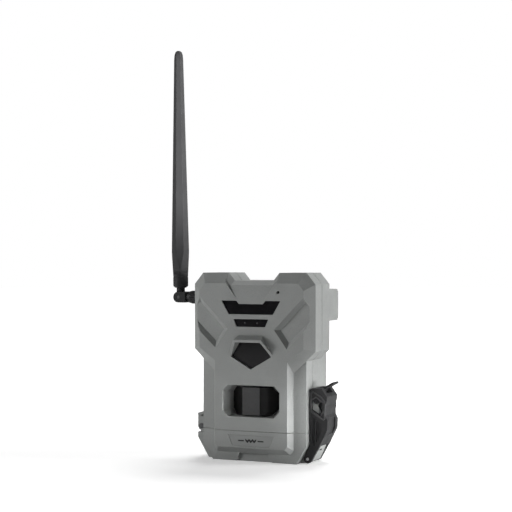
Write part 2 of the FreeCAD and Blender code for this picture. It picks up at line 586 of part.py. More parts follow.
def battery():
    half, y0, y1 = TRAY_SIZE / 2, TRAY_FRONT, TRAY_FRONT + TRAY_SIZE
    low, top, t = TRAY_LOW, TRAY_LOW + TRAY_TALL, TRAY_WALL
    tray = block(-half, half, y0, y1, low, top)
    tray = tray.cut(block(-half + t, half - t, y0 - 1, y1 - t, low + t, top - t))
    rib = block(-0.25, 0.25, y1 - t - 4, y1 - t, low + t, top - t)
    export(tray.fuse(rib), "battery_tray")
    cells, springs, plates = [], [], []
    base = low + t + CONTACT_GAP
    for x, y in columns():
        for i in (0, 1):
            foot = base + i * CELL_LONG
            can = rod(CELL_R, (x, y, foot + 0.1), (0, 0, 1), CELL_LONG - 1.6)
            cells.append(can.fuse(rod(2.7, (x, y, foot + 0.1), (0, 0, 1), CELL_LONG - 0.2)))
        rings = [Part.makeTorus(4.2 - 1.1 * i, 0.32, V(x, y, base - 0.95 + 0.5 * i)) for i in (0, 1)]
        bar = block(x - 4.0, x + 4.0, y - 0.3, y + 0.3, base - 1.0, base - 0.5)
        springs.append(fused(rings + [bar]))
        end = base + 2 * CELL_LONG
        plates.append(block(x - 4.5, x + 4.5, y - 4.5, y + 4.5, end + 0.2, end + 0.7))
    export(Part.makeCompound(cells), "battery_cells")
    export(Part.makeCompound(springs), "contact_springs")
    export(Part.makeCompound(plates), "contact_plates")


# ---- controls ------------------------------------------------------------------------------
def controls():
    x, y = CONTROL_X, CONTROL_Y
    low = FLOOR + 6.2
    half = LOWER_HALF - WALL - 1.0
    bay = TRAY_SIZE / 2 + TRAY_GAP + 0.6
    board = fused([block(bay, half, 0.8, SIDE_BACK - WALL - 1, low, low + 1.2),
                   block(-half, -bay, 0.8, SIDE_BACK - WALL - 1, low, low + 1.2),
                   block(-half, half, 0.8, TRAY_FRONT - TRAY_GAP - 0.3, low, low + 1.2)])
    for px, pz, _ in case_screw_places():
        board = board.cut(fused(both_sides(rod(BOSS_R + MOVE, (px, -1, pz), (0, 1, 0), 40))))
    card = CARD_WIDE / 2 + 1.6
    board = board.cut(block(-x - card, -x + card, y - 2.6, y + 2.6, low - 1, low + 3))
    export(board, "control_board")
    switch = block(x - 3, x + 3, y - 3, y + 3, low - 2.4, low - 0.05)
    export(switch, "power_switch")
    foot = SEAM - 0.6
    stem = rod(BUTTON_R, (x, y, foot), (0, 0, 1), WALL + 1.2)
    flange = rod(BUTTON_R + 0.9, (x, y, FLOOR + MOVE / 2), (0, 0, 1), 0.9)
    export(stem.fuse(flange), "power_button")
    ring = Part.makeTorus(2.2, 0.25, V(x, y, low - 2.4 - 0.3))
    export(ring, "button_spring")

    wide = CARD_WIDE / 2 + 1.2
    socket = block(-x - wide, -x + wide, y - 1.9, y + 1.9, FLOOR + 0.6, FLOOR + CARD_LONG - 1.0)
    gap = CARD_THICK / 2 + MOVE / 2
    socket = socket.cut(block(-x - CARD_WIDE / 2 - 0.25, -x + CARD_WIDE / 2 + 0.25, y - gap, y + gap,
                              FLOOR, FLOOR + CARD_LONG - 2.2))
    export(socket, "card_socket")
    card_low = SEAM - 1.0
    export(block(-x - CARD_WIDE / 2, -x + CARD_WIDE / 2, y - CARD_THICK / 2, y + CARD_THICK / 2,
                 card_low, card_low + CARD_LONG), "memory_card")
    jack = rod(JACK_SOCKET_R, (x, y + JACK_SOCKET_BACK, SEAM + 0.4), (0, 0, 1), low - SEAM - 0.5)
    jack = jack.cut(rod(1.3, (x, y + JACK_SOCKET_BACK, SEAM), (0, 0, 1), 5))
    export(jack, "power_socket")


# ---- rear bracket and fasteners ------------------------------------------------------------
def bracket():
    """Plate on the hump with two strap bridges and a camera-thread boss between them."""
    y0, y1, half = HUMP_BACK, HUMP_BACK + BRACKET_PLATE, BRACKET_HALF
    low, top = BRACKET_LOW, BRACKET_LOW + BRACKET_TALL
    body = block(-half, half, y0, y1, low, top)
    for z in (low, top - STRAP_WIDE - 2 * BRIDGE):
        frame = prism_y([(-half, z), (-half, z + STRAP_WIDE + 2 * BRIDGE),
                         (half, z + STRAP_WIDE + 2 * BRIDGE), (half, z)], y1 - 0.1, BRACKET_BACK)
        slot = block(-half - 1, half + 1, y1, y1 + STRAP_THICK, z + BRIDGE, z + BRIDGE + STRAP_WIDE)
        grip = prism_z([(-half * 0.62, BRACKET_BACK + 1), (half * 0.62, BRACKET_BACK + 1),
                        (half * 0.3, y1 + STRAP_THICK + 1.6), (-half * 0.3, y1 + STRAP_THICK + 1.6)],
                       z - 1, z + STRAP_WIDE + 2 * BRIDGE + 1)
        body = body.fuse(frame.cut(slot.fuse(grip)))
    z = (low + top) / 2
    body = body.fuse(rod(6.6, (0, y1 - 0.1, z), (0, 1, 0), 7.1))
    cutters = [rod(INSERT_R + RUN, (0, y1 + 7.0 - INSERT_LONG, z), (0, 1, 0), INSERT_LONG + 1)]
    for x, pz in bracket_screw_places():
        cutters.append(rod(SCREW_R + RUN, (x, y0 - 1, pz), (0, 1, 0), 30))
        cutters.append(rod(SCREW_HEAD_R + SEAT, (x, y1 - 0.6, pz), (0, 1, 0), 30))
    export(body.cut(fused(cutters)), "tree_bracket")
    face = y1 + 7.0
    insert = rod(INSERT_R, (0, face - INSERT_LONG, z), (0, 1, 0), INSERT_LONG)
    export(insert.cut(rod(INSERT_BORE_R, (0, face - INSERT_LONG + 1, z), (0, 1, 0), INSERT_LONG)),
           "tripod_insert")
    screws = []
    for x, pz in bracket_screw_places():
        tip = y0 - BRACKET_SCREW_GRIP + 0.1
        shank = rod(SCREW_R, (x, tip, pz), (0, 1, 0), y1 - 0.5 - tip)
        screws.append(shank.fuse(rod(SCREW_HEAD_R, (x, y1 - 0.58, pz), (0, 1, 0), SCREW_HEAD_TALL)))
    export(Part.makeCompound(screws), "bracket_screws")


def case_screws():
    screws = []
    for x, z, back in case_screw_places():
        head = back - SCREW_HEAD_TALL - 1.2 + 0.02
        start = RIM + 4.0
        shank = rod(SCREW_R, (x, start, z), (0, 1, 0), head - start + 0.1)
        screw = shank.fuse(rod(SCREW_HEAD_R, (x, head, z), (0, 1, 0), SCREW_HEAD_TALL))
        drive = rod(1.1, (x, head + 0.8, z), (0, 1, 0), 3)
        screws += both_sides(screw.cut(drive))
    export(Part.makeCompound(screws), "case_screws")


# ---- door ----------------------------------------------------------------------------------
def badge_outline():
    return mirrored([(17.4, SEAM - 3.0), (14.0, SEAM - 10.8)])


def latch_boss():
    """Block outside the door's right wall that the latch fork straddles."""
    x = LOWER_HALF
    y0, y1 = LATCH_FRONT + CHEEK + MOVE, LATCH_BACK - CHEEK - MOVE
    body = prism_y([(x - 1, LATCH_Z + 10.6), (LATCH_X + 2.2, LATCH_Z + 10.6), (LATCH_X + 7.2, LATCH_Z + 8.4),
                    (LATCH_X + 5.6, LATCH_Z + 4.4), (LATCH_X + 2.6, LATCH_Z - 1.4),
                    (LATCH_X, LATCH_Z - LATCH_BOSS_R), (x - BOTTOM_CHAMFER_X, 0.0),
                    (x - BOTTOM_CHAMFER_X - 1, 1.5)], y0, y1)
    slot = block(LATCH_X + 3.6, LATCH_X + 9, y0 + 3.5, y0 + 8.0, LATCH_Z + 5.0, LATCH_Z + 6.6)
    bore = rod(LATCH_PIN_R + RUN, (LATCH_X, y0 - 1, LATCH_Z), (0, 1, 0), y1 - y0 + 2)
    return body.cut(bore.fuse(slot))


def door_hinge():
    """Knuckle between the housing's two ears, and the wing below them."""
    y = HINGE_FRONT + LUG_THICK + MOVE
    x, z = HINGE_X, HINGE_Z
    eye = rod(KNUCKLE_R, (x, y, z), (0, 1, 0), KNUCKLE_LONG)
    arm = prism_y([(x - KNUCKLE_R, z), (x - KNUCKLE_R, z - 5), (-LOWER_HALF + 1, z - 9),
                   (-LOWER_HALF + 1, z - 2.4), (-LOWER_HALF, z - 1.6), (x + KNUCKLE_R * 0.7, z - 1.6),
                   (x, z)], y, y + KNUCKLE_LONG)
    wing = prism_y([(x - KNUCKLE_R, WING_TOP), (x - KNUCKLE_R, BOTTOM_CHAMFER_Z + 1.1),
                    (-LOWER_HALF + 1.5, 0.4), (-LOWER_HALF + BOTTOM_CHAMFER_X + 1, 0.4),
                    (-LOWER_HALF + 1, BOTTOM_CHAMFER_Z + 1), (-LOWER_HALF + 1, WING_TOP)],
                   HINGE_FRONT, HINGE_FRONT + 2 * LUG_THICK + KNUCKLE_LONG + 2 * MOVE)
    bore = rod(HINGE_PIN_R + RUN, (x, y - 1, z), (0, 1, 0), KNUCKLE_LONG + 2)
    return fused([eye, arm, wing]).cut(bore)


def door():
    high = SEAM - DOOR_GAP
    rim, ledge, front = door_outlines(high)
    solid = prism_y(rim, RIM, SIDE_BACK).fuse(loft_y([(RIM, rim), (LEDGE, ledge), (FRONT, front)]))
    hump = prism_z(hump_plan(0), 0, high)
    slope = prism_x([(SIDE_BACK, -1), (HUMP_BACK + 1, -1), (HUMP_BACK + 1, 7)],
                    -HUMP_HALF - 1, HUMP_HALF + 1)
    solid = solid.fuse(hump.cut(slope))
    inner = mirrored([(LOWER_HALF - WALL, high + 1), (LOWER_HALF - WALL, BOTTOM_CHAMFER_Z + 0.8),
                      (LOWER_HALF - BOTTOM_CHAMFER_X - 1.6, WALL)])
    half, back = HUMP_BACK_HALF - WALL, HUMP_BACK - WALL
    hollow = [prism_y(inner, RIM + 2.0, SIDE_BACK - WALL),
              block(-PANEL_HALF + 3, PANEL_HALF - 3, RIM - 2.6, RIM + 3, PANEL_BOTTOM + 1.5, high + 1),
              block(-half, half, SIDE_BACK - WALL - 1, back, 8.0, high + 1)]
    solid = solid.cut(fused(hollow)).multiFuse([latch_boss(), door_hinge()])
    badge = prism_y(badge_outline(), FRONT - 1, FRONT + 1.0)
    grip = loft_y([(FRONT - 0.1, mirrored([(11.0, PANEL_BOTTOM - 3.0), (13.6, -0.1)])),
                   (RIM + 1.2, mirrored([(11.0, PANEL_BOTTOM - 4.6), (13.6, -0.1)]))])
    export(solid.cut(fused([badge, grip, door_seal(0.05)])), "door_shell")
    export(door_seal(0.0), "door_seal")
    plate = prism_y(inset(badge_outline(), SEAT), FRONT + 0.35, FRONT + 0.95)
    export(plate, "badge_plate")


def seal_plan(edge):
    """Closed plan that runs a distance inside the door's outer wall."""
    x, b = LOWER_HALF - edge, HUMP_BACK_HALF + 2.0 - edge
    return [(-x, RIM + 1.6 + edge), (x, RIM + 1.6 + edge), (x, SIDE_BACK - edge), (b, SIDE_BACK - edge),
            (b - 2.0, HUMP_BACK - edge), (-b + 2.0, HUMP_BACK - edge), (-b, SIDE_BACK - edge),
            (-x, SIDE_BACK - edge)]


def door_seal(grow):
    """Rubber seal set into the door's rim."""
    high = SEAM - DOOR_GAP
    ring = prism_z(seal_plan(0.7 - grow), high - 1.2 - grow, high + 0.15)
    return ring.cut(prism_z(seal_plan(1.7 + grow), high - 2, high + 1))


def hinge_pin():
    y0 = HINGE_FRONT
    y1 = HINGE_FRONT + 2 * LUG_THICK + KNUCKLE_LONG + 2 * MOVE
    pin = rod(HINGE_PIN_R, (HINGE_X, y0 - 0.05, HINGE_Z), (0, 1, 0), y1 - y0 + 0.5)
    head = rod(HINGE_PIN_R + 0.4, (HINGE_X, y0 - 0.8, HINGE_Z), (0, 1, 0), 0.75)
    export(pin.fuse(head), "hinge_pin")


# ---- latch ---------------------------------------------------------------------------------
def latch():
    x, z = LOWER_HALF, LATCH_Z
    px = LATCH_X
    inner = x + 0.7
    outer = x + 12.6
    head = CATCH_TOP + 6.0
    side = [(inner, head - 1.0), (inner + 2.0, head), (outer - 3.0, head), (outer + 0.9, head - 5.5),
            (outer + 0.8, head - 8.0), (outer - 0.4, head - 11.8), (outer - 0.4, head - 18.2),
            (outer + 1.4, head - 22.0), (outer + 1.1, head - 28.4), (px + 8.7, z + 9.2),
            (px + 3.1, z - 0.6), (px, z), (px - 2.3, z + 2.0), (inner, z + 10.4)]
    cheeks = []
    window = [(inner + 1.3, CATCH_TOP - 2.6), (inner + 4.6, CATCH_TOP - 0.4), (outer - 1.5, CATCH_TOP - 4.6),
              (outer - 1.5, CATCH_TOP - 8.2), (inner + 7.6, CATCH_TOP - 12.6), (inner + 1.3, CATCH_TOP - 8.6)]
    for y in (LATCH_FRONT, LATCH_BACK - CHEEK):
        cheek = prism_y(side, y, y + CHEEK).fuse(rod(LATCH_BOSS_R, (px, y, z), (0, 1, 0), CHEEK))
        cheeks.append(cheek.cut(prism_y(window, y - 1, y + CHEEK + 1)))
    pocket = [(inner + 2.0, CATCH_TOP - 14.5), (inner + 9.0, CATCH_TOP - 17.8), (inner + 9.0, z + 19.5),
              (px + 4.6, z + 8.5), (inner + 2.0, z + 13.5)]
    rib = block(inner + 3.8, inner + 4.6, LATCH_FRONT - 1, LATCH_FRONT + 2, z, CATCH_TOP)
    cheeks[0] = cheeks[0].cut(prism_y(pocket, LATCH_FRONT - 1, LATCH_FRONT + 1.5).cut(rib))

    skin = side[3:10]
    edge = [(a - LATCH_WEB, b) for a, b in reversed(skin)]
    edge[0] = (px + 6.9, z + 11.8)
    web = prism_y([side[2]] + skin + edge + [(outer - 5.0, head - LATCH_WEB), (inner + 2.0, head - LATCH_WEB),
                  (inner + 2.0, head)], LATCH_FRONT, LATCH_BACK)
    ratio = CATCH_DROP / CATCH_REACH
    gap = MOVE * math.hypot(1, ratio)
    lip = x + CATCH_REACH + 0.7
    hook = prism_y([(inner, head - 1.0), (inner, CATCH_TOP + gap - (inner - x) * ratio),
                    (lip, CATCH_TOP + gap - (lip - x) * ratio), (lip + 1.6, CATCH_TOP - 1.0),
                    (lip + 2.4, head - 1.0)], LATCH_FRONT + 1, LATCH_BACK - 1)
    finger = prism_y([(outer + 3.0, head - 19.0), (outer + 0.2, head - 20.5), (outer + 0.1, head - 27.0),
                      (outer - 1.4, head - 32.0), (outer + 3.0, head - 34.0)],
                     LATCH_FRONT + 4.5, LATCH_BACK - 4.5)
    slot = block(outer - 7.6, outer + 2.5, -TAB_WIDE / 2 + 2 - MOVE, TAB_WIDE / 2 + 2 + MOVE,
                 head - 3.6, head + 2)
    arm = fused(cheeks + [web, hook]).cut(fused([finger, slot]))
    tab_x, tab_z = outer - 5.4, head - 1.6
    tab_bore = rod(TAB_PIN_R + RUN, (tab_x, -TAB_WIDE / 2 - 1, tab_z), (0, 1, 0), TAB_WIDE + 6)
    bore = rod(LATCH_PIN_R + RUN, (px, LATCH_FRONT - 1, z), (0, 1, 0), LATCH_BACK - LATCH_FRONT + 2)
    export(arm.cut(bore.fuse(tab_bore)), "latch_arm")
    pin = rod(LATCH_PIN_R, (px, LATCH_FRONT - 0.3, z), (0, 1, 0), LATCH_BACK - LATCH_FRONT + 0.6)
    export(pin, "latch_pin")

    y0, y1 = -TAB_WIDE / 2 + 2, TAB_WIDE / 2 + 2
    hub = rod(1.3, (tab_x, y0, tab_z), (0, 1, 0), TAB_WIDE)
    dx, dz = TAB_LONG * math.cos(TAB_RISE), TAB_LONG * math.sin(TAB_RISE)
    blade = prism_y([(tab_x - 0.6, tab_z + 0.8), (tab_x + dx - 0.6, tab_z + dz + 0.9),
                     (tab_x + dx + 0.2, tab_z + dz - 0.4), (tab_x + 0.2, tab_z - 0.5)], y0, y1)
    bore = rod(TAB_PIN_R + RUN, (tab_x, y0 - 1, tab_z), (0, 1, 0), TAB_WIDE + 2)
    export(hub.fuse(blade).cut(bore), "latch_tab")
    export(rod(TAB_PIN_R, (tab_x, y0 - 1.6, tab_z), (0, 1, 0), TAB_WIDE + 3.2), "tab_pin")


# ---- antenna -------------------------------------------------------------------------------
def antenna():
    x, y, z = ANT_X, ANT_Y, ANT_Z
    wall = -UPPER_HALF
    jack = rod(JACK_R, (wall - 4.6, y, z), (1, 0, 0), 4.6 + WALL + 3.0)
    flange = rod(JACK_R + 1.4, (wall + WALL + 0.02, y, z), (1, 0, 0), 1.4)
    export(jack.fuse(flange), "antenna_jack")

    nut_end, nut_start = wall - 8.6, wall - 0.6
    nut = rod(NUT_R, (nut_start - 4.4, y, z), (1, 0, 0), 4.4)
    cone = Part.makeCone(NUT_TIP_R, NUT_R, nut_start - 4.4 - nut_end, V(nut_end, y, z), V(1, 0, 0))
    nut = nut.fuse(cone)
    flutes = []
    for i in range(NUT_FLUTES):
        turn = 2 * math.pi * i / NUT_FLUTES
        at_y, at_z = y + (NUT_R + 0.15) * math.cos(turn), z + (NUT_R + 0.15) * math.sin(turn)
        flutes.append(rod(0.45, (nut_start - 5, at_y, at_z), (1, 0, 0), 5.5))
    nut = nut.cut(fused(flutes))
    nut = nut.cut(rod(JACK_R + RUN, (nut_start - 5.0, y, z), (1, 0, 0), 6))
    nut = nut.cut(rod(2.2 + RUN, (nut_end - 1, y, z), (1, 0, 0), 6))
    export(nut, "antenna_nut")

    w = ELBOW_WIDE / 2
    block_end = nut_end - 0.35
    head = rod(ELBOW_R, (x, y - w, z), (0, 1, 0), ELBOW_WIDE)
    body = block(x, block_end - 0.02, y - w, y + w, z - ELBOW_R, z + ELBOW_R)
    body = body.cut(prism_y([(block_end - 1.6, z + ELBOW_R + 1), (block_end + 1, z + ELBOW_R + 1),
                             (block_end + 1, z + ELBOW_R - 1.6)], y - w - 1, y + w + 1))
    spigot = rod(2.2, (block_end - 1, y, z), (1, 0, 0), nut_start - 5.4 - block_end)
    slot = TONGUE / 2 + 0.15
    way = fused([rod(ELBOW_R + 0.3, (x, y - slot, z), (0, 1, 0), 2 * slot),
                 block(x - 5, x + 3.3, y - slot, y + slot, z, z + 5)])
    bore = rod(ELBOW_PIN_R + RUN, (x, y - w - 1, z), (0, 1, 0), ELBOW_WIDE + 2)
    export(head.fuse(body).cut(way.fuse(bore)).fuse(spigot), "antenna_elbow")
    export(rod(ELBOW_PIN_R, (x, y - w + 0.2, z), (0, 1, 0), ELBOW_WIDE - 0.4), "elbow_pin")

    tongue = rod(ELBOW_R - 0.4, (x, y - TONGUE / 2, z), (0, 1, 0), TONGUE)
    neck = block(x - 3.0, x + 3.0, y - TONGUE / 2, y + TONGUE / 2, z, z + SLEEVE_FOOT)
    collar = rod(3.0, (x, y, z + ELBOW_R + 0.5), (0, 0, 1), SLEEVE_FOOT - ELBOW_R)
    foot = Part.makeCone(SLEEVE_R - 1.2, SLEEVE_R, 1.4, V(x, y, z + SLEEVE_FOOT), V(0, 0, 1))
    sleeve = rod(SLEEVE_R, (x, y, z + SLEEVE_FOOT + 1.4), (0, 0, 1), SLEEVE_TOP - SLEEVE_FOOT - 1.4)
    wires = []
    for height, wide, deep in BLADE:
        a, b, c = wide / 2, deep / 2, wide * 0.2
        side = [(c * 0.9, b), (a - c * 0.5, b * 0.62), (a, 0), (a - c * 0.5, -b * 0.62), (c * 0.9, -b)]
        ring = side + [(-i, j) for i, j in reversed(side)]
        corners = [V(x + i, y + j, z + height) for i, j in ring]
        wires.append(Part.makePolygon(corners + corners[:1]))
    blade = Part.makeLoft(wires, True, True)
    body = fused([tongue, neck, collar, foot, sleeve, blade])
    body = body.cut(rod(ELBOW_PIN_R + RUN, (x, y - 5, z), (0, 1, 0), 10))
    room = rod(RADIATOR_R + 0.2, (x, y, z + SLEEVE_FOOT + 2.0), (0, 0, 1), BLADE[3][0] - SLEEVE_FOOT)
    core = rod(RADIATOR_R, (x, y, z + SLEEVE_FOOT + 3.0), (0, 0, 1), BLADE[3][0] - SLEEVE_FOOT - 3)
    for shape, node in ((body.cut(room), "antenna_blade"), (core, "antenna_radiator")):
        shape.rotate(V(x, y, z), V(0, -1, 0), LEAN)
        export(shape, node)


def antenna_lead():
    """Thin coaxial lead from the jack's tail to the modem, clipped flat above the board."""
    start = V(-UPPER_HALF + WALL + 3.2, ANT_Y, ANT_Z)
    turn = V(-UPPER_HALF + 15.0, ANT_Y, ANT_Z)
    end = V(-UPPER_HALF + 15.0, ANT_Y, BOARD_TOP - 15.0)
    bend = 5.0
    a = turn + V(-bend, 0, 0)
    b = turn + V(0, 0, -bend)
    reach = bend * math.sin(math.pi / 4)
    mid = turn + V(reach - bend, 0, reach - bend)
    path = Part.Wire([Part.LineSegment(start, a).toShape(), Part.Arc(a, mid, b).toShape(),
                      Part.LineSegment(b, end).toShape()])
    ring = Part.Wire([Part.makeCircle(0.55, start, V(1, 0, 0))])
    export(path.makePipeShell([ring], True, False), "antenna_lead")


# ---- build ---------------------------------------------------------------------------------
def front_with_lug():
    shell = front_housing().fuse(catch(LATCH_FRONT + CHEEK + 1.8, -0.3))
    for ear in hinge_lugs():
        if ear.BoundBox.YMax <= 0:
            shell = shell.fuse(ear)
    return shell


export(front_with_lug(), "front_housing")
export(rear_housing(), "rear_housing")
export(gasket(0.0), "shell_gasket")
windows()
optics()
pir()
boards()
battery()
controls()
bracket()
case_screws()
door()
hinge_pin()
latch()
antenna()
antenna_lead()
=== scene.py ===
"""Looks of the trail camera: materials, moulded details, studio light and camera.

Metres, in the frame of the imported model: +Z is up, the trail camera faces -Y, and the
origin is the centre of the bottom face.
"""
import json
import math

import bmesh
import bpy
from mathutils import Matrix, Vector


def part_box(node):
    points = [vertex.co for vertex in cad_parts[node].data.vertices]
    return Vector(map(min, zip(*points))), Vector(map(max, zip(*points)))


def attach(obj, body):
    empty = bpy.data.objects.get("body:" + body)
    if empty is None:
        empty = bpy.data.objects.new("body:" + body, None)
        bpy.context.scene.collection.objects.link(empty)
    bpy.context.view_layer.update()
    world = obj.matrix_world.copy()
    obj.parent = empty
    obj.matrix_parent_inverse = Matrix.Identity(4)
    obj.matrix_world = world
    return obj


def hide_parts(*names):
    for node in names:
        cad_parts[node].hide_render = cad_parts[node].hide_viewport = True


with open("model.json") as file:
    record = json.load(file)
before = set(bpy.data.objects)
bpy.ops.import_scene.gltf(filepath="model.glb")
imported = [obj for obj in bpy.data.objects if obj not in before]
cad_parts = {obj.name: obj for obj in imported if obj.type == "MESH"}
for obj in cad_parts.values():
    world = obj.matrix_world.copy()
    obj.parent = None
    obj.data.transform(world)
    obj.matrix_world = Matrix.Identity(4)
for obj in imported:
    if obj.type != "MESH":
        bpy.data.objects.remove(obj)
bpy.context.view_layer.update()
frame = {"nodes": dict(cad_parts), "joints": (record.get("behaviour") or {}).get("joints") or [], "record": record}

MM = 0.001
WHITE = (1, 1, 1, 1)
NODES = frame["nodes"]
SLOT_OF = {part["node"]: part["material_slot"] for part in frame["record"]["subparts"]}


# ---- shader helpers ------------------------------------------------------------------------
MIX_FIRST, MIX_SECOND, MIX_COLOUR = 6, 7, 2     # the colour sockets of Blender's Mix node


class Shader:
    """One procedural material, built from short calls."""

    def __init__(self, name, **values):
        self.material = bpy.data.materials.new(name)
        self.material.use_nodes = True
        self.tree = self.material.node_tree
        self.surface = self.tree.nodes["Principled BSDF"]
        self.place = self.tree.nodes.new("ShaderNodeTexCoord").outputs["Object"]
        self.bump = None
        for key, value in values.items():
            self.surface.inputs[key.replace("_", " ")].default_value = value

    def add(self, kind, **values):
        """A new shader node, with its settings and input values by name."""
        node = self.tree.nodes.new("ShaderNode" + kind)
        for key, value in values.items():
            if hasattr(node, key):
                setattr(node, key, value)
            else:
                node.inputs[key.replace("_", " ")].default_value = value
        return node

    def link(self, source, target):
        """Joins an output to an input."""
        self.tree.links.new(source, target)

    def noise(self, size, detail=2.0, roughness=0.5, stretch=(1, 1, 1)):
        """Noise whose features are about size metres across."""
        turn = self.add("Mapping")
        turn.inputs["Scale"].default_value = stretch
        self.link(self.place, turn.inputs["Vector"])
        node = self.add("TexNoise", Scale=1.0 / size, Detail=detail, Roughness=roughness)
        self.link(turn.outputs["Vector"], node.inputs["Vector"])
        return node.outputs["Fac"]

    def spread(self, source, low, high, start=0.3, end=0.7):
        """A number that runs from low to high as source runs from start to end."""
        node = self.add("MapRange", clamp=True)
        for key, value in (("From Min", start), ("From Max", end), ("To Min", low), ("To Max", high)):
            node.inputs[key].default_value = value
        self.link(source, node.inputs["Value"])
        return node.outputs["Result"]

    def mix(self, share, first, second):
        """Colour between two, each a colour or another node's output."""
        node = self.add("Mix", data_type="RGBA")
        self.link(share, node.inputs["Factor"])
        for socket, value in ((node.inputs[MIX_FIRST], first), (node.inputs[MIX_SECOND], second)):
            if isinstance(value, tuple):
                socket.default_value = value + (1.0,)
            else:
                self.link(value, socket)
        return node.outputs[MIX_COLOUR]

    def wear_and_highlight(self, radius, low=0.02, high=0.25):
        """Share of edge that is lightened, as rubbed wear and as a painted highlight: where rounded-off normals
        leave the true ones.
        """
        soft = self.add("Bevel", samples=4)
        soft.inputs["Radius"].default_value = radius
        true = self.add("NewGeometry")
        dot = self.add("VectorMath", operation="DOT_PRODUCT")
        self.link(soft.outputs["Normal"], dot.inputs[0])
        self.link(true.outputs["Normal"], dot.inputs[1])
        return self.spread(dot.outputs["Value"], 1.0, 0.0, 1.0 - high, 1.0 - low)

    def relief(self, height, depth, strength=1.0):
        """Bump of a real depth in metres, on top of any bump before it."""
        node = self.add("Bump", Distance=depth, Strength=strength)
        self.link(height, node.inputs["Height"])
        if self.bump is not None:
            self.link(self.bump, node.inputs["Normal"])
        self.bump = node.outputs["Normal"]
        self.link(self.bump, self.surface.inputs["Normal"])

    def colour(self, output):
        """Base colour of the surface."""
        self.link(output, self.surface.inputs["Base Color"])

    def rough(self, output):
        """Roughness of the surface."""
        self.link(output, self.surface.inputs["Roughness"])


CLOUD, PATCH, FLOW, SHEEN = 14 * MM, 3 * MM, 18 * MM, 5 * MM    # sizes of the marks on a moulding
FLOW_DEPTH, FLOW_STRENGTH = 0.05 * MM, 0.35
SPECK, SPECK_SHADE = 1.6, 0.74      # size of a speck against the grain, and its colour against the base


def moulded(name, base, pale, grain, depth, rough, wear_highlight_radius=0.5 * MM, worn_and_highlight=None, gloss=0.35):
    """Textured moulding: mottled colour, spark-eroded grain, faint flow marks, edges lightened by rubbed wear and
    a painted highlight.
    """
    shader = Shader(name, Specular_IOR_Level=gloss)
    cloud = shader.noise(CLOUD, 3.0)
    colour = shader.mix(shader.spread(cloud, 0.0, 1.0), base, pale)
    speck = shader.noise(grain * SPECK, 2.0)
    darker = tuple(SPECK_SHADE * value for value in base)
    colour = shader.mix(shader.spread(speck, 0.0, 0.5, 0.5, 0.72), colour, darker)
    # Edges go towards the lighter edge colour: partly rubbed wear, partly a painted highlight along every edge.
    if worn_and_highlight:
        edge = shader.wear_and_highlight(wear_highlight_radius)
        patchy_wear_highlight = shader.add("Math", operation="MULTIPLY")
        shader.link(edge, patchy_wear_highlight.inputs[0])
        shader.link(shader.spread(shader.noise(PATCH, 3.0), 0.35, 0.95), patchy_wear_highlight.inputs[1])
        colour = shader.mix(patchy_wear_highlight.outputs[0], colour, worn_and_highlight)
    shader.colour(colour)
    shader.rough(shader.spread(shader.noise(SHEEN, 3.0), rough - 0.06, rough + 0.08))
    shader.relief(shader.noise(FLOW, 1.0), FLOW_DEPTH, FLOW_STRENGTH)
    shader.relief(shader.noise(grain, 3.0, 0.6), depth)
    return shader.material


MARK, MARK_DEPTH = 0.35 * MM, 0.012 * MM
TARNISH, TARNISH_SHADE = 2.5 * MM, 0.72


def metal(name, base, rough, brushed):
    """Metal with fine marks along one direction and a little tarnish."""
    shader = Shader(name, Metallic=1.0)
    marks = shader.noise(MARK, 3.0, 0.6, brushed)
    tarnish = shader.noise(TARNISH, 3.0)
    dull = tuple(TARNISH_SHADE * value for value in base)
    shader.colour(shader.mix(shader.spread(tarnish, 0.0, 0.6), base, dull))
    shader.rough(shader.spread(marks, rough - 0.07, rough + 0.1))
    shader.relief(marks, MARK_DEPTH)
    return shader.material


HAZE, SMEAR, RIPPLE = 6 * MM, 1.2 * MM, 9 * MM
RIPPLE_DEPTH, RIPPLE_STRENGTH = 0.02 * MM, 0.4


def window_tint(name, rough, see_through):
    """Infrared-passing acrylic: nearly black, smooth, with a faint view of what is behind."""
    shader = Shader(name, IOR=1.49, Specular_IOR_Level=0.2, Transmission_Weight=see_through)
    haze = shader.noise(HAZE, 2.0)
    shader.colour(shader.mix(shader.spread(haze, 0.0, 1.0), (0.007, 0.007, 0.008), (0.014, 0.013, 0.015)))
    shader.rough(shader.spread(shader.noise(SMEAR, 4.0), rough, rough + 0.07))
    shader.relief(shader.noise(RIPPLE, 1.0), RIPPLE_DEPTH, RIPPLE_STRENGTH)
    return shader.material


TRACES_PER_METRE, TRACE_WIDTH, TRACE_RELIEF = 220.0, 0.04, 0.03 * MM


def board_green():
    """Solder mask with traces under it."""
    shader = Shader("solder_mask")
    lanes = shader.add("TexBrick", Scale=TRACES_PER_METRE)
    lanes.inputs["Mortar Size"].default_value = TRACE_WIDTH
    lanes.inputs["Color1"].default_value = (0.012, 0.085, 0.035, 1)
    lanes.inputs["Color2"].default_value = (0.010, 0.070, 0.030, 1)
    lanes.inputs["Mortar"].default_value = (0.03, 0.16, 0.07, 1)
    shader.link(shader.place, lanes.inputs["Vector"])
    shader.colour(lanes.outputs["Color"])
    shader.rough(shader.spread(shader.noise(1.0 * MM), 0.25, 0.45))
    shader.relief(lanes.outputs["Fac"], TRACE_RELIEF)
    return shader.material


def glass():
    """Coated optical glass."""
    shader = Shader("coated_glass", IOR=1.52, Transmission_Weight=0.9, Coat_Weight=0.4)
    tint = shader.noise(4 * MM, 1.0)
    shader.colour(shader.mix(shader.spread(tint, 0.0, 1.0), (0.55, 0.62, 0.78), (0.62, 0.55, 0.74)))
    shader.rough(shader.spread(tint, 0.015, 0.04))
    return shader.material


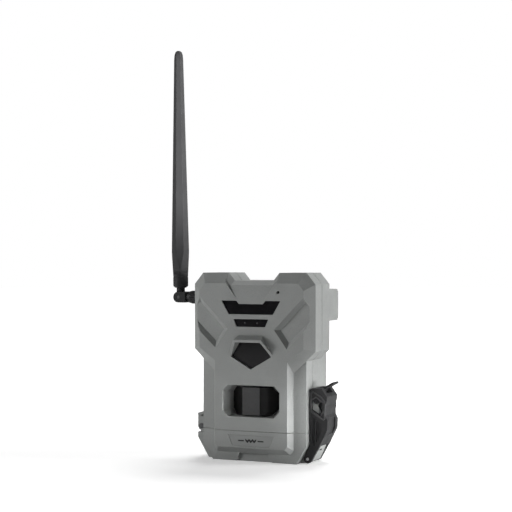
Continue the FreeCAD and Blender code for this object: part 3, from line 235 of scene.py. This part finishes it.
def make_materials():
    """Material of each slot in the record."""
    # The last colour given to a moulding is its edge colour: rubbed wear with a painted highlight.
    case = moulded("case_moulding", (0.275, 0.284, 0.278), (0.298, 0.307, 0.301), 0.34 * MM,
                   0.030 * MM, 0.52, 0.5 * MM, (0.50, 0.51, 0.50))
    black = moulded("glass_filled_black", (0.020, 0.020, 0.021), (0.028, 0.028, 0.029), 0.28 * MM,
                    0.030 * MM, 0.56, 0.4 * MM, (0.085, 0.085, 0.088), 0.18)
    aerial = moulded("aerial_black", (0.022, 0.022, 0.023), (0.028, 0.028, 0.029), 0.26 * MM,
                     0.022 * MM, 0.52, 0.4 * MM, (0.065, 0.065, 0.068), 0.18)
    return {
        "case_plastic": case,
        "latch_plastic": black,
        "antenna_plastic": aerial,
        "window_plastic": window_tint("window_acrylic", 0.06, 0.25),
        "pir_plastic": moulded("pir_side_film", (0.004, 0.004, 0.004), (0.007, 0.007, 0.007),
                               0.4 * MM, 0.012 * MM, 0.36, gloss=0.08),
        "optical_glass": glass(),
        "barrel_black": moulded("barrel_black", (0.010, 0.010, 0.010), (0.014, 0.014, 0.014),
                                0.3 * MM, 0.02 * MM, 0.5),
        "steel": metal("plain_steel", (0.55, 0.55, 0.56), 0.30, (1, 12, 1)),
        "brass": metal("plain_brass", (0.62, 0.44, 0.16), 0.28, (1, 8, 1)),
        "rubber": moulded("soft_rubber", (0.016, 0.016, 0.016), (0.022, 0.022, 0.022), 0.3 * MM,
                          0.03 * MM, 0.72),
        "circuit_board": board_green(),
        "chip_black": moulded("chip_epoxy", (0.015, 0.015, 0.016), (0.020, 0.020, 0.021), 0.2 * MM,
                              0.01 * MM, 0.55),
        "shield_metal": metal("tinned_shield", (0.70, 0.70, 0.71), 0.36, (6, 1, 1)),
        "cell_sleeve": moulded("cell_sleeve", (0.045, 0.05, 0.06), (0.06, 0.065, 0.075), 0.6 * MM,
                               0.01 * MM, 0.3),
        "tray_plastic": moulded("tray_black", (0.03, 0.03, 0.032), (0.04, 0.04, 0.042), 0.3 * MM,
                                0.03 * MM, 0.5),
        "lamp_clear": moulded("lamp_epoxy", (0.10, 0.09, 0.12), (0.13, 0.12, 0.15), 0.5 * MM,
                              0.005 * MM, 0.15),
        "badge_plastic": moulded("badge_inlay", (0.262, 0.270, 0.265), (0.285, 0.294, 0.288), 0.25 * MM,
                                 0.012 * MM, 0.42, 0.3 * MM, (0.40, 0.41, 0.40)),
    }


MATERIALS = make_materials()


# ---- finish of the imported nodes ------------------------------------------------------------
# Rounding of the outer nodes' edges, mm.
EDGE = {"front_housing": 0.45, "rear_housing": 0.40, "door_shell": 0.40, "tree_bracket": 0.45,
        "latch_arm": 0.30, "latch_tab": 0.22, "antenna_elbow": 0.30, "antenna_nut": 0.10,
        "badge_plate": 0.10, "lens_window": 0.10, "led_window": 0.10, "status_window": 0.10}
SHARP = math.radians(16)
FLAT = math.radians(0.6)
SPLIT_CORNER = 1e-6                 # corners closer than this are one corner
ROUND_STEPS = 3


def soften(piece, width):
    """Merges the mesh's split corners, joins flat faces, and rounds its edges by width metres."""
    weld = piece.modifiers.new("weld", "WELD")
    weld.merge_threshold = SPLIT_CORNER
    flat = piece.modifiers.new("flat_faces", "DECIMATE")
    flat.decimate_type = "DISSOLVE"
    flat.angle_limit = FLAT
    edge = piece.modifiers.new("round_edges", "BEVEL")
    edge.width = width
    edge.segments = ROUND_STEPS
    edge.limit_method = "ANGLE"
    edge.angle_limit = SHARP
    edge.use_clamp_overlap = True
    edge.harden_normals = False
    normal = piece.modifiers.new("even_normals", "WEIGHTED_NORMAL")
    normal.weight = 100
    normal.keep_sharp = False


def dress(piece, material):
    """Gives a piece its only material and smooth shading."""
    piece.data.materials.clear()
    piece.data.materials.append(material)
    for face in piece.data.polygons:
        face.use_smooth = True


BLACKENED = ("hinge_pin", "elbow_pin")
blackened_steel = metal("blackened_steel", (0.11, 0.11, 0.112), 0.45, (1, 12, 1))
for node_name, node in NODES.items():
    dress(node, blackened_steel if node_name in BLACKENED else MATERIALS[SLOT_OF[node_name]])
    if node_name in EDGE:
        soften(node, EDGE[node_name] * MM)


# ---- mesh helpers --------------------------------------------------------------------------
def finished(build, name):
    """The mesh of a bmesh, which is freed."""
    mesh = bpy.data.meshes.new(name)
    build.to_mesh(mesh)
    build.free()
    return mesh


def new_piece(name, mesh, body, slot, replaced=(), material=None, edge=0.0):
    """Puts a finished mesh in the scene, with its body, its material (the slot's, unless one is given) and rounded
    edges.
    """
    piece = bpy.data.objects.new(name, mesh)
    bpy.context.scene.collection.objects.link(piece)
    dress(piece, material or MATERIALS[slot])
    if edge:
        soften(piece, edge)
    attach(piece, body)
    if replaced:
        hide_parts(*replaced)
    return piece


def outline_mesh(name, outline, holes, y0, y1):
    """Flat plate from y0 to y1 whose edge is an outline of (x, z), with holes in it."""
    build = bmesh.new()
    edges = []
    for loop in [outline] + list(holes):
        corners = [build.verts.new((x, y0, z)) for x, z in loop]
        for index, corner in enumerate(corners):
            edges.append(build.edges.new((corner, corners[(index + 1) % len(corners)])))
    bmesh.ops.triangle_fill(build, edges=edges, use_beauty=True, use_dissolve=True)
    pushed = bmesh.ops.extrude_face_region(build, geom=list(build.faces))
    moved = [item for item in pushed["geom"] if isinstance(item, bmesh.types.BMVert)]
    bmesh.ops.translate(build, verts=moved, vec=(0, y1 - y0, 0))
    bmesh.ops.recalc_face_normals(build, faces=list(build.faces))
    return finished(build, name)


def grown(outline, distance):
    """The same outline with every side moved outwards; its points run clockwise seen along +Y."""
    result = []
    count = len(outline)
    for index in range(count):
        (ax, az), (bx, bz), (cx, cz) = outline[index - 1], outline[index], outline[(index + 1) % count]
        first, second = math.hypot(bx - ax, bz - az), math.hypot(cx - bx, cz - bz)
        n1 = ((bz - az) / first, -(bx - ax) / first)
        n2 = ((cz - bz) / second, -(cx - bx) / second)
        scale = -distance / (1 + n1[0] * n2[0] + n1[1] * n2[1])
        result.append((bx + scale * (n1[0] + n2[0]), bz + scale * (n1[1] + n2[1])))
    return result


def joined(name, meshes):
    """One mesh from several."""
    build = bmesh.new()
    for mesh in meshes:
        build.from_mesh(mesh)
    return finished(build, name)


def lofted(name, rings):
    """Skin over rings of equally many points, with its two ends closed."""
    build = bmesh.new()
    rows = [[build.verts.new(point) for point in ring] for ring in rings]
    for lower, upper in zip(rows, rows[1:]):
        for index in range(len(lower)):
            after = (index + 1) % len(lower)
            build.faces.new((lower[index], lower[after], upper[after], upper[index]))
    build.faces.new(list(reversed(rows[0])))
    build.faces.new(rows[-1])
    bmesh.ops.recalc_face_normals(build, faces=list(build.faces))
    return finished(build, name)


def circle(radius, count, start=0.0):
    """Points round a circle, as (first, second) pairs."""
    return [(radius * math.cos(start + math.tau * index / count),
             radius * math.sin(start + math.tau * index / count)) for index in range(count)]


def joint_place(name):
    """Where the joint sits, in metres."""
    for joint in frame["joints"]:
        if joint["name"] == name:
            return Vector(joint["pos_m"])
    raise ValueError(name)


# ---- antenna -------------------------------------------------------------------------------
RING_SIDES, RING_STEPS = 6, 4
WHIP_TURN = math.radians(22)        # how far the whip's broad face is turned towards +X
WHIP_LEAN = math.radians(0.6)
FACET_EDGE = math.radians(24)
WHIP_RINGS = (                      # height above the pin, half width, half flat, half depth, all mm
    (-3.3, 1.6, 1.2, 1.95), (-2.2, 2.8, 2.3, 1.95), (0.0, 3.4, 2.9, 1.95), (3.4, 3.0, 2.6, 1.95))
SLEEVE_RINGS = (                    # height above the pin, radius
    (4.3, 3.0), (6.6, 3.0), (6.75, 4.1), (7.9, 5.3), (8.3, 5.4), (14.0, 5.4), (14.3, 5.25), (14.7, 5.25),
    (15.0, 5.4), (16.4, 5.4))
SLEEVE_ROUND, SLEEVE_EASE = 3, 3    # ring at which the sleeve starts to turn, and rings that it takes
BLADE_RINGS = (                     # height above the pin, half width, half flat, half depth
    (18.6, 5.55, 0.25, 5.0), (23.0, 5.8, 1.0, 4.85), (28.0, 6.05, 2.0, 4.7), (32.3, 6.25, 2.7, 4.6),
    (36.0, 6.2, 2.75, 4.55), (80.0, 5.3, 2.35, 3.95), (134.0, 4.35, 1.9, 3.25), (171.0, 3.3, 1.45, 2.5),
    (174.5, 3.0, 1.3, 2.2), (176.6, 2.3, 1.0, 1.6), (177.5, 1.3, 0.6, 0.9))


def six_sided(half, flat, depth):
    """Points round a six-sided section with flat front and back faces."""
    corners = [(-half, 0), (-flat, -depth), (flat, -depth), (half, 0), (flat, depth), (-flat, depth)]
    points = []
    for side in range(RING_SIDES):
        (ax, ay), (bx, by) = corners[side], corners[(side + 1) % RING_SIDES]
        for step in range(RING_STEPS):
            share = step / RING_STEPS
            points.append((ax + (bx - ax) * share, ay + (by - ay) * share))
    return points


def round_section(radius, turn=0.0):
    """As many points round a circle, from the same side."""
    return circle(radius, RING_SIDES * RING_STEPS, math.pi + turn)


def turned(points, angle):
    """The same section, turned about the whip's axis."""
    return [(x * math.cos(angle) - y * math.sin(angle), x * math.sin(angle) + y * math.cos(angle))
            for x, y in points]


def antenna_whip():
    """Black whip: tongue, collar and round sleeve, then a six-sided blade that starts in a point."""
    pin = joint_place("antenna_fold")
    lean = Matrix.Rotation(-WHIP_LEAN, 4, "Y")
    sections = [(height, six_sided(*size)) for height, *size in WHIP_RINGS]
    for index, (height, radius) in enumerate(SLEEVE_RINGS):
        share = min(1.0, max(0.0, (index - SLEEVE_ROUND) / SLEEVE_EASE))
        sections.append((height, round_section(radius, WHIP_TURN * share)))
    sections += [(height, turned(six_sided(*size), WHIP_TURN)) for height, *size in BLADE_RINGS]
    rings = [[pin + lean @ Vector((x * MM, y * MM, height * MM)) for x, y in points]
             for height, points in sections]
    mesh = lofted("antenna_whip", rings)
    mesh.set_sharp_from_angle(angle=FACET_EDGE)
    new_piece("antenna_whip", mesh, "antenna_whip", "antenna_plastic", ["antenna_blade"], edge=0.16 * MM)


# ---- motion sensor lens --------------------------------------------------------------------
ZONE_PITCH, ZONE_DEPTH = 1.1 * MM, 0.10 * MM    # between the rings of a lenslet, and their depth
PANEL_EDGE = 6.6 * MM               # half width of the middle panel
CORNER_CUT = 4.0 * MM
EDGE_INSET = 1.0 * MM               # outer edges of the side panels, in front of the lens's back face
FILM_THICK = 0.7 * MM
ACROSS, TALL = 34, 56               # faces of a panel
LENSLET_ROWS, LENSLET_COLUMNS = 3, 2


def lens_panel(name, start, end, material):
    """One flat panel of ribbed film between two plan points, made of lenslets with circular ribs."""
    low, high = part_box("pir_lens")
    middle = (low.z + high.z) / 2
    half = (high.z - low.z) / 2
    along = Vector((end[0] - start[0], end[1] - start[1], 0))
    width = along.length
    along.normalize()
    outwards = Vector((along.y, -along.x, 0))
    build = bmesh.new()
    grid = []
    for i in range(ACROSS + 1):
        u = width * i / ACROSS
        place = Vector((start[0], start[1], 0)) + along * u
        reach = half - max(0.0, abs(place.x) - (high.x - CORNER_CUT))
        line = []
        for j in range(TALL + 1):
            v = reach * (2 * j / TALL - 1)
            cell_u = (u / width * LENSLET_COLUMNS) % 1.0 - 0.5
            cell_v = ((v / half + 1) / 2 * LENSLET_ROWS) % 1.0 - 0.5
            distance = math.hypot(cell_u * width / LENSLET_COLUMNS, cell_v * 2 * half / LENSLET_ROWS)
            rib = (distance / ZONE_PITCH) % 1.0
            point = place + outwards * (-ZONE_DEPTH * rib) + Vector((0, 0, middle + v))
            line.append(build.verts.new(point))
        grid.append(line)
    for i in range(ACROSS):
        for j in range(TALL):
            build.faces.new((grid[i][j], grid[i + 1][j], grid[i + 1][j + 1], grid[i][j + 1]))
    piece = new_piece(name, finished(build, name), "root", "pir_plastic", material=material)
    skin = piece.modifiers.new("thickness", "SOLIDIFY")
    skin.thickness = FILM_THICK
    skin.offset = -1
    return piece


def motion_lens():
    """Grey middle panel between two black ones, which bow towards the window."""
    low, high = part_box("pir_lens")
    front, back = low.y, high.y - EDGE_INSET
    grey = moulded("pir_middle_film", (0.046, 0.046, 0.047), (0.056, 0.056, 0.057), 0.5 * MM,
                   0.008 * MM, 0.40)
    dark = MATERIALS["pir_plastic"]
    middle = lens_panel("pir_film_middle", (-PANEL_EDGE, front), (PANEL_EDGE, front), grey)
    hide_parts("pir_lens")
    lens_panel("pir_film_left", (low.x, back), (-PANEL_EDGE, front), dark)
    lens_panel("pir_film_right", (PANEL_EDGE, front), (high.x, back), dark)


# ---- latch ---------------------------------------------------------------------------------
CHEEK_WIDE, HEAD_TALL = 13.3 * MM, 6.0 * MM     # from the arm's box to the corner that the rims start at
WINDOW_RIM = ((1.3, -2.6), (4.6, -0.4), (11.1, -4.6), (11.1, -8.2), (7.6, -12.6), (1.3, -8.6))
SHIELD_RIM = ((0.9, 2.6), (2.4, 4.1), (9.0, 0.6), (11.6, -2.6), (11.6, -14.6), (10.4, -15.8), (0.9, -10.6))
WINDOW_CLEAR, WINDOW_RIM_WIDE, SHIELD_RIM_WIDE = 0.75 * MM, 0.7 * MM, 0.9 * MM
RIM_STAND, RIM_SUNK = 0.55 * MM, 0.1 * MM


def latch_details():
    """Raised rims round the latch's window and shield, on both cheeks."""
    low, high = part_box("latch_arm")
    left, top = high.x - CHEEK_WIDE, high.z - HEAD_TALL
    window, shield = ([(left + x * MM, top + z * MM) for x, z in corners]
                      for corners in (WINDOW_RIM, SHIELD_RIM))
    # The rims' black is lighter than the latch's own: a painted highlight on the raised rims, with lighter edges
    # again.
    rim_black_highlight = moulded("rim_black_painted_highlight", (0.050, 0.050, 0.051), (0.064, 0.064, 0.066), 0.28 * MM, 0.02 * MM,
                     0.5, 0.3 * MM, (0.12, 0.12, 0.12), 0.2)
    for side, face, away in (("front", low.y, -1), ("rear", high.y, 1)):
        y0, y1 = sorted((face - away * RIM_SUNK, face + away * RIM_STAND))
        plates = [outline_mesh("rim", outline, [grown(outline, -width)], y0, y1)
                  for outline, width in ((grown(window, WINDOW_CLEAR), WINDOW_RIM_WIDE),
                                         (shield, SHIELD_RIM_WIDE))]
        name = "latch_rims_" + side
        new_piece(name, joined(name, plates), "latch", "latch_plastic", material=rim_black_highlight, edge=0.14 * MM)


# ---- badge ---------------------------------------------------------------------------------
CHEVRON_PITCH, CHEVRON_HALF, CHEVRON_THICK = 2.6 * MM, 1.5 * MM, (0.2 * MM, 0.3 * MM)
BAR_NEAR, BAR_FAR, BAR_HALF = 5.2 * MM, 9.6 * MM, 0.45 * MM
MARK_STAND, MARK_SUNK = 0.18 * MM, 0.1 * MM


def badge_mark():
    """Plain mark on the door's inlay: three chevrons in a row between two bars."""
    low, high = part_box("badge_plate")
    middle = (low.z + high.z) / 2
    half, (side_dip, point_dip) = CHEVRON_HALF, CHEVRON_THICK
    outlines = []
    for index in (-1, 0, 1):
        x = index * CHEVRON_PITCH
        outlines.append([(x - half, middle + half), (x, middle + point_dip), (x + half, middle + half),
                         (x + half, middle + side_dip), (x, middle - half), (x - half, middle + side_dip)])
    for side in (-1, 1):
        x0, x1 = sorted((side * BAR_NEAR, side * BAR_FAR))
        outlines.append([(x0, middle + BAR_HALF), (x1, middle + BAR_HALF), (x1, middle - BAR_HALF),
                         (x0, middle - BAR_HALF)])
    plates = [outline_mesh("mark", outline, [], low.y - MARK_STAND, low.y + MARK_SUNK)
              for outline in outlines]
    ink = moulded("badge_mark_black", (0.012, 0.012, 0.012), (0.018, 0.018, 0.018), 0.2 * MM, 0.01 * MM,
                  0.4)
    new_piece("badge_mark", joined("badge_mark", plates), "door", "badge_plastic", material=ink,
              edge=0.06 * MM)


# ---- small front pieces --------------------------------------------------------------------
DOME_STEPS, DOME_SIDES, DOME_SPAN = 5, 24, 0.48 * math.pi
LAMP_RADIUS, LAMP_STAND, LAMP_SUNK = 0.62 * MM, 0.3 * MM, 0.05 * MM
PIPE_RADIUS = 1.3 * MM
CAP_RADIUS, CAP_HOLE, CAP_THICK = 1.05 * MM, 0.16 * MM, 0.3 * MM
CAP_FORWARD = 3.6 * MM              # cap in front of the microphone's front face
CAP_SIDES, HOLE_SIDES = 24, 8
HOLE_RINGS = ((0, 1), (0.42, 6), (0.78, 10))    # share of the cap's radius, and holes in the ring


def dome(name, centre, radius, height):
    """Shallow dome whose top points to -Y."""
    rings = []
    for step in range(DOME_STEPS + 1):
        turn = DOME_SPAN * step / DOME_STEPS
        out = height * math.sin(turn)
        points = circle(radius * math.cos(turn), DOME_SIDES)
        rings.append([centre + Vector((x, -out, z)) for x, z in points])
    return lofted(name, rings)


def status_lamps():
    """Two small lamp lenses that show in the status window."""
    low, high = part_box("status_window")
    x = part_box("status_light_pipes")[1].x - PIPE_RADIUS
    face = Vector((0, low.y + LAMP_SUNK, (low.z + high.z) / 2))
    lamps = [dome("lamp", face + Vector((side * x, 0, 0)), LAMP_RADIUS, LAMP_STAND) for side in (-1, 1)]
    grey = moulded("lamp_lens_grey", (0.060, 0.058, 0.060), (0.080, 0.078, 0.080), 0.2 * MM, 0.004 * MM,
                   0.3)
    new_piece("status_lamps", joined("status_lamps", lamps), "root", "lamp_clear", material=grey)


def microphone_grille():
    """Perforated cap set back in the microphone hole."""
    low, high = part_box("microphone")
    centre = (low + high) / 2
    rim = [(centre.x + across, centre.z + up) for up, across in circle(CAP_RADIUS, CAP_SIDES)]
    holes = []
    for share, count in HOLE_RINGS:
        for up, across in circle(share * CAP_RADIUS, count):
            x, z = centre.x + across, centre.z + up
            holes.append([(x + b, z + a) for a, b in circle(CAP_HOLE, HOLE_SIDES)])
    front = low.y - CAP_FORWARD
    mesh = outline_mesh("microphone_grille", rim, holes, front, front + CAP_THICK)
    new_piece("microphone_grille", mesh, "root", "barrel_black")


antenna_whip()
motion_lens()
latch_details()
badge_mark()
status_lamps()
microphone_grille()


# ---- studio --------------------------------------------------------------------------------
FLOOR_RADIUS, FLOOR_SIDES = 6.0, 96
FLOOR_MOTTLE = 0.5
FLOOR_LIFT = (0.32, 1.05)           # glow seen near the object and far off, which lights nothing
FLOOR_NEAR, FLOOR_FAR = 0.25, 1.0   # distances at which that glow starts and ends its rise
BACKDROP, AMBIENT = 1.0, 0.03       # white seen behind the object, and the light it gives
OBJECT_MIDDLE = (0.0, 0.0, 0.07)
SPOT_BLEND, SPOT_RADIUS = 0.3, 0.03

# Name, place, width and height, power.
SOFTBOXES = (
    ("key_left", (-1.14, -0.80, 0.50), (0.4, 0.5), 10.5),
    ("rim_right", (1.29, 0.47, 0.39), (0.5, 0.9), 19),
    ("back_top", (0.0, 0.8, 1.3), (0.9, 0.5), 15))

# Name, place, target, cone in degrees, power. Each lifts one part towards its tone in the photograph.
SPOTS = (
    ("whip_spot", (0.79, -0.86, 0.27), (-0.062, -0.0055, 0.232), 8.0, 150),
    ("latch_spot", (0.78, -0.86, 0.16), (0.0560, -0.006, 0.036), 1.7, 75),
    ("step_spot", (1.19, -0.055, 0.04), (0.028, -0.0165, 0.030), 3.4, 52),
    ("pocket_spot", (1.03, -0.50, 0.06), (-0.0205, -0.0130, 0.0425), 1.5, 45),
    ("catch_spot", (0.42, -0.90, 0.15), (0.0455, -0.004, 0.0375), 0.6, 60))

CAMERA_PLACE, CAMERA_TURN = (0.3821, -0.8641, 0.1402), math.radians(24.07)
FOCAL_LENGTH, SENSOR_WIDTH, SHIFT_UP = 94.0, 36.0, 0.0098   # mm, mm, share of the width
CLIP = (0.05, 50.0)


def studio_floor():
    """Pale round floor, faintly mottled, with a glow that only the camera sees."""
    build = bmesh.new()
    bmesh.ops.create_circle(build, cap_ends=True, segments=FLOOR_SIDES, radius=FLOOR_RADIUS)
    floor = bpy.data.objects.new("floor", finished(build, "floor"))
    bpy.context.scene.collection.objects.link(floor)
    shader = Shader("pale_floor", Roughness=0.9, Emission_Color=WHITE)
    shader.colour(shader.mix(shader.noise(FLOOR_MOTTLE, 2.0), (0.90, 0.90, 0.90), (0.93, 0.93, 0.93)))
    path = shader.add("LightPath")
    distance = shader.add("VectorMath", operation="LENGTH")
    shader.link(shader.place, distance.inputs[0])
    glow = shader.add("Math", operation="MULTIPLY")
    shader.link(path.outputs["Is Camera Ray"], glow.inputs[0])
    rise = shader.spread(distance.outputs["Value"], *FLOOR_LIFT, FLOOR_NEAR, FLOOR_FAR)
    shader.link(rise, glow.inputs[1])
    shader.link(glow.outputs[0], shader.surface.inputs["Emission Strength"])
    dress(floor, shader.material)


def hang(name, lamp, place, target):
    """Puts a lamp in the scene, aimed at a target."""
    holder = bpy.data.objects.new(name, lamp)
    bpy.context.scene.collection.objects.link(holder)
    holder.location = place
    holder.rotation_euler = (Vector(target) - Vector(place)).to_track_quat("-Z", "Y").to_euler()


def softbox(name, place, size, power):
    """Broad soft light on the whole object."""
    lamp = bpy.data.lights.new(name, "AREA")
    lamp.shape = "RECTANGLE"
    lamp.size, lamp.size_y = size
    lamp.energy = power
    hang(name, lamp, place, OBJECT_MIDDLE)


def spot(name, place, target, degrees, power):
    """Small soft-edged lamp that reaches one part of the object."""
    lamp = bpy.data.lights.new(name, "SPOT")
    lamp.spot_size = math.radians(degrees)
    lamp.spot_blend = SPOT_BLEND
    lamp.shadow_soft_size = SPOT_RADIUS
    lamp.energy = power
    hang(name, lamp, place, target)


def white_world():
    """Backdrop that the camera sees as white, and that gives only a little light."""
    world = bpy.data.worlds.new("studio")
    bpy.context.scene.world = world
    world.use_nodes = True
    tree = world.node_tree
    backdrop = tree.nodes["Background"]
    backdrop.inputs["Color"].default_value = WHITE
    path = tree.nodes.new("ShaderNodeLightPath")
    level = tree.nodes.new("ShaderNodeMapRange")
    level.inputs["To Min"].default_value = AMBIENT
    level.inputs["To Max"].default_value = BACKDROP
    tree.links.new(path.outputs["Is Camera Ray"], level.inputs["Value"])
    tree.links.new(level.outputs["Result"], backdrop.inputs["Strength"])


def studio():
    """Backdrop, floor and lights."""
    white_world()
    studio_floor()
    for row in SOFTBOXES:
        softbox(*row)
    for row in SPOTS:
        spot(*row)
    bpy.context.scene.view_settings.view_transform = "Standard"


def camera():
    """Level camera in front and to the right."""
    eye = bpy.data.cameras.new("camera")
    eye.sensor_width = SENSOR_WIDTH
    eye.lens = FOCAL_LENGTH
    eye.shift_y = SHIFT_UP
    eye.clip_start, eye.clip_end = CLIP
    holder = bpy.data.objects.new("camera", eye)
    bpy.context.scene.collection.objects.link(holder)
    holder.location = CAMERA_PLACE
    holder.rotation_euler = (math.pi / 2, 0.0, CAMERA_TURN)
    bpy.context.scene.camera = holder


studio()
camera()
